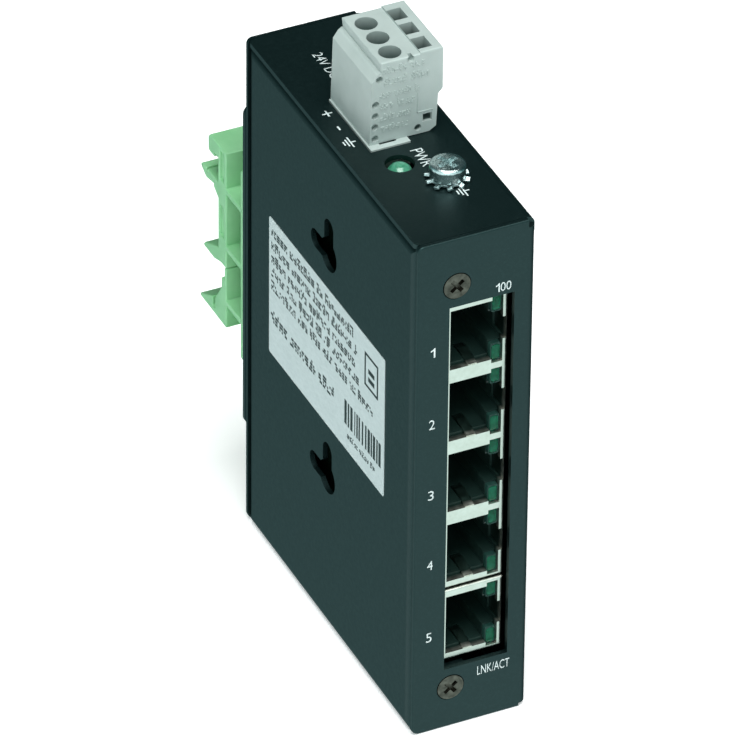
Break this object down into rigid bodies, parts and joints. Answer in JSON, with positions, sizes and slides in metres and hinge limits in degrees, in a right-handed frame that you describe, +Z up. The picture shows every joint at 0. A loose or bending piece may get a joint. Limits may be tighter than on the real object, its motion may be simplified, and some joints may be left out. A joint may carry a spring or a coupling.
{
  "type": "din rail ethernet switch",
  "caption": "Slim black sheet-metal network switch: sockets in its front edge, a plug-in power terminal and ground screw on top, a green rail foot behind.",
  "frame": {"origin": "middle of the case's bottom face", "axes": "+Z up, -Y the way the sockets face, +X to the right of someone facing the sockets"},
  "size_m": [0.0235, 0.0951, 0.1268],
  "materials": {
    "case_paint": "fine black powder coat, semi-gloss",
    "screw_steel": "satin nickel-plated steel",
    "zinc_plate": "bright zinc plate",
    "board_green": "green solder mask",
    "chip_black": "moulded epoxy",
    "can_aluminium": "drawn aluminium can",
    "ceramic_tan": "ceramic",
    "disc_blue": "dipped epoxy",
    "tin_shield": "bright tinned sheet",
    "socket_black": "moulded black plastic",
    "contact_gold": "gold-flashed spring wire",
    "lens_green": "clear green plastic",
    "terminal_grey": "light grey moulded plastic",
    "pin_brass": "tinned brass",
    "holder_black": "moulded black plastic",
    "foot_green": "green moulded plastic",
    "label_paper": "pale printed film"
  },
  "bodies": {
    "switch": {"chassis": "case_paint", "side_cover": "case_paint", "mounting_plate": "case_paint", "cover_screws": "screw_steel", "board_screws": "screw_steel", "plate_screws": "screw_steel", "foot_screws": "screw_steel", "board_standoffs": "screw_steel", "latch_spring": "screw_steel", "lock_washer": "zinc_plate", "ground_nut": "zinc_plate", "main_pcb": "board_green", "switch_chip": "chip_black", "line_transformers": "chip_black", "memory_chip": "chip_black", "regulator_chip": "chip_black", "bridge_rectifier": "chip_black", "power_inductor": "chip_black", "bulk_capacitors": "can_aluminium", "clock_crystal": "can_aluminium", "ceramic_capacitors": "ceramic_tan", "resistors": "ceramic_tan", "input_fuse": "ceramic_tan", "surge_suppressor": "disc_blue", "quad_jack_shield": "tin_shield", "single_jack_shield": "tin_shield", "jack_insert_1": "socket_black", "jack_insert_2": "socket_black", "jack_insert_3": "socket_black", "jack_insert_4": "socket_black", "jack_insert_5": "socket_black", "jack_contacts_1": "contact_gold", "jack_contacts_2": "contact_gold", "jack_contacts_3": "contact_gold", "jack_contacts_4": "contact_gold", "jack_contacts_5": "contact_gold", "port_lenses_1": "lens_green", "port_lenses_2": "lens_green", "port_lenses_3": "lens_green", "port_lenses_4": "lens_green", "port_lenses_5": "lens_green", "power_light": "lens_green", "terminal_header": "terminal_grey", "header_pins": "pin_brass", "light_holder": "holder_black", "rail_foot": "foot_green", "rating_label": "label_paper"},
    "terminal_plug": {"terminal_plug": "terminal_grey", "plug_forks": "pin_brass"},
    "ground_screw": {"ground_screw": "zinc_plate"},
    "rail_latch": {"rail_latch": "foot_green"},
    "clamp_screw_1": {"clamp_screw_1": "screw_steel"},
    "clamp_block_1": {"clamp_block_1": "zinc_plate"},
    "clamp_screw_2": {"clamp_screw_2": "screw_steel"},
    "clamp_block_2": {"clamp_block_2": "zinc_plate"},
    "clamp_screw_3": {"clamp_screw_3": "screw_steel"},
    "clamp_block_3": {"clamp_block_3": "zinc_plate"}
  },
  "joints": [
    {"name": "plug_pull", "type": "slide", "parent": "switch", "child": "terminal_plug", "axis": [0, 0, 1], "range_m": [0, 0.01]},
    {"name": "ground_screw_turn", "type": "hinge", "parent": "switch", "child": "ground_screw", "pos_m": [0.0023, -0.0194, 0.1103], "axis": [0, 0, 1], "range_deg": [0, 1440]},
    {"name": "latch_slide", "type": "slide", "parent": "switch", "child": "rail_latch", "axis": [0, 0, -1], "range_m": [0, 0.0025], "stiffness_N_per_m": 800, "springref_m": -0.001, "deforming": ["latch_spring"]},
    {"name": "clamp_screw_1_turn", "type": "hinge", "parent": "terminal_plug", "child": "clamp_screw_1", "pos_m": [-0.00085, -0.00155, 0.1201], "axis": [0, 0, 1], "range_deg": [-1440, 0]},
    {"name": "clamp_block_1_rise", "type": "slide", "parent": "terminal_plug", "child": "clamp_block_1", "axis": [0, 0, 1], "range_m": [0, 0.002]},
    {"name": "clamp_screw_2_turn", "type": "hinge", "parent": "terminal_plug", "child": "clamp_screw_2", "pos_m": [-0.00085, 0.00345, 0.1201], "axis": [0, 0, 1], "range_deg": [-1440, 0]},
    {"name": "clamp_block_2_rise", "type": "slide", "parent": "terminal_plug", "child": "clamp_block_2", "axis": [0, 0, 1], "range_m": [0, 0.002]},
    {"name": "clamp_screw_3_turn", "type": "hinge", "parent": "terminal_plug", "child": "clamp_screw_3", "pos_m": [-0.00085, 0.00845, 0.1201], "axis": [0, 0, 1], "range_deg": [-1440, 0]},
    {"name": "clamp_block_3_rise", "type": "slide", "parent": "terminal_plug", "child": "clamp_block_3", "axis": [0, 0, 1], "range_m": [0, 0.002]}
  ],
  "couplings": [
    {"joint": "clamp_block_1_rise", "follows": "clamp_screw_1_turn", "m_per_rad": -0.000079577},
    {"joint": "clamp_block_2_rise", "follows": "clamp_screw_2_turn", "m_per_rad": -0.000079577},
    {"joint": "clamp_block_3_rise", "follows": "clamp_screw_3_turn", "m_per_rad": -0.000079577}
  ]
}
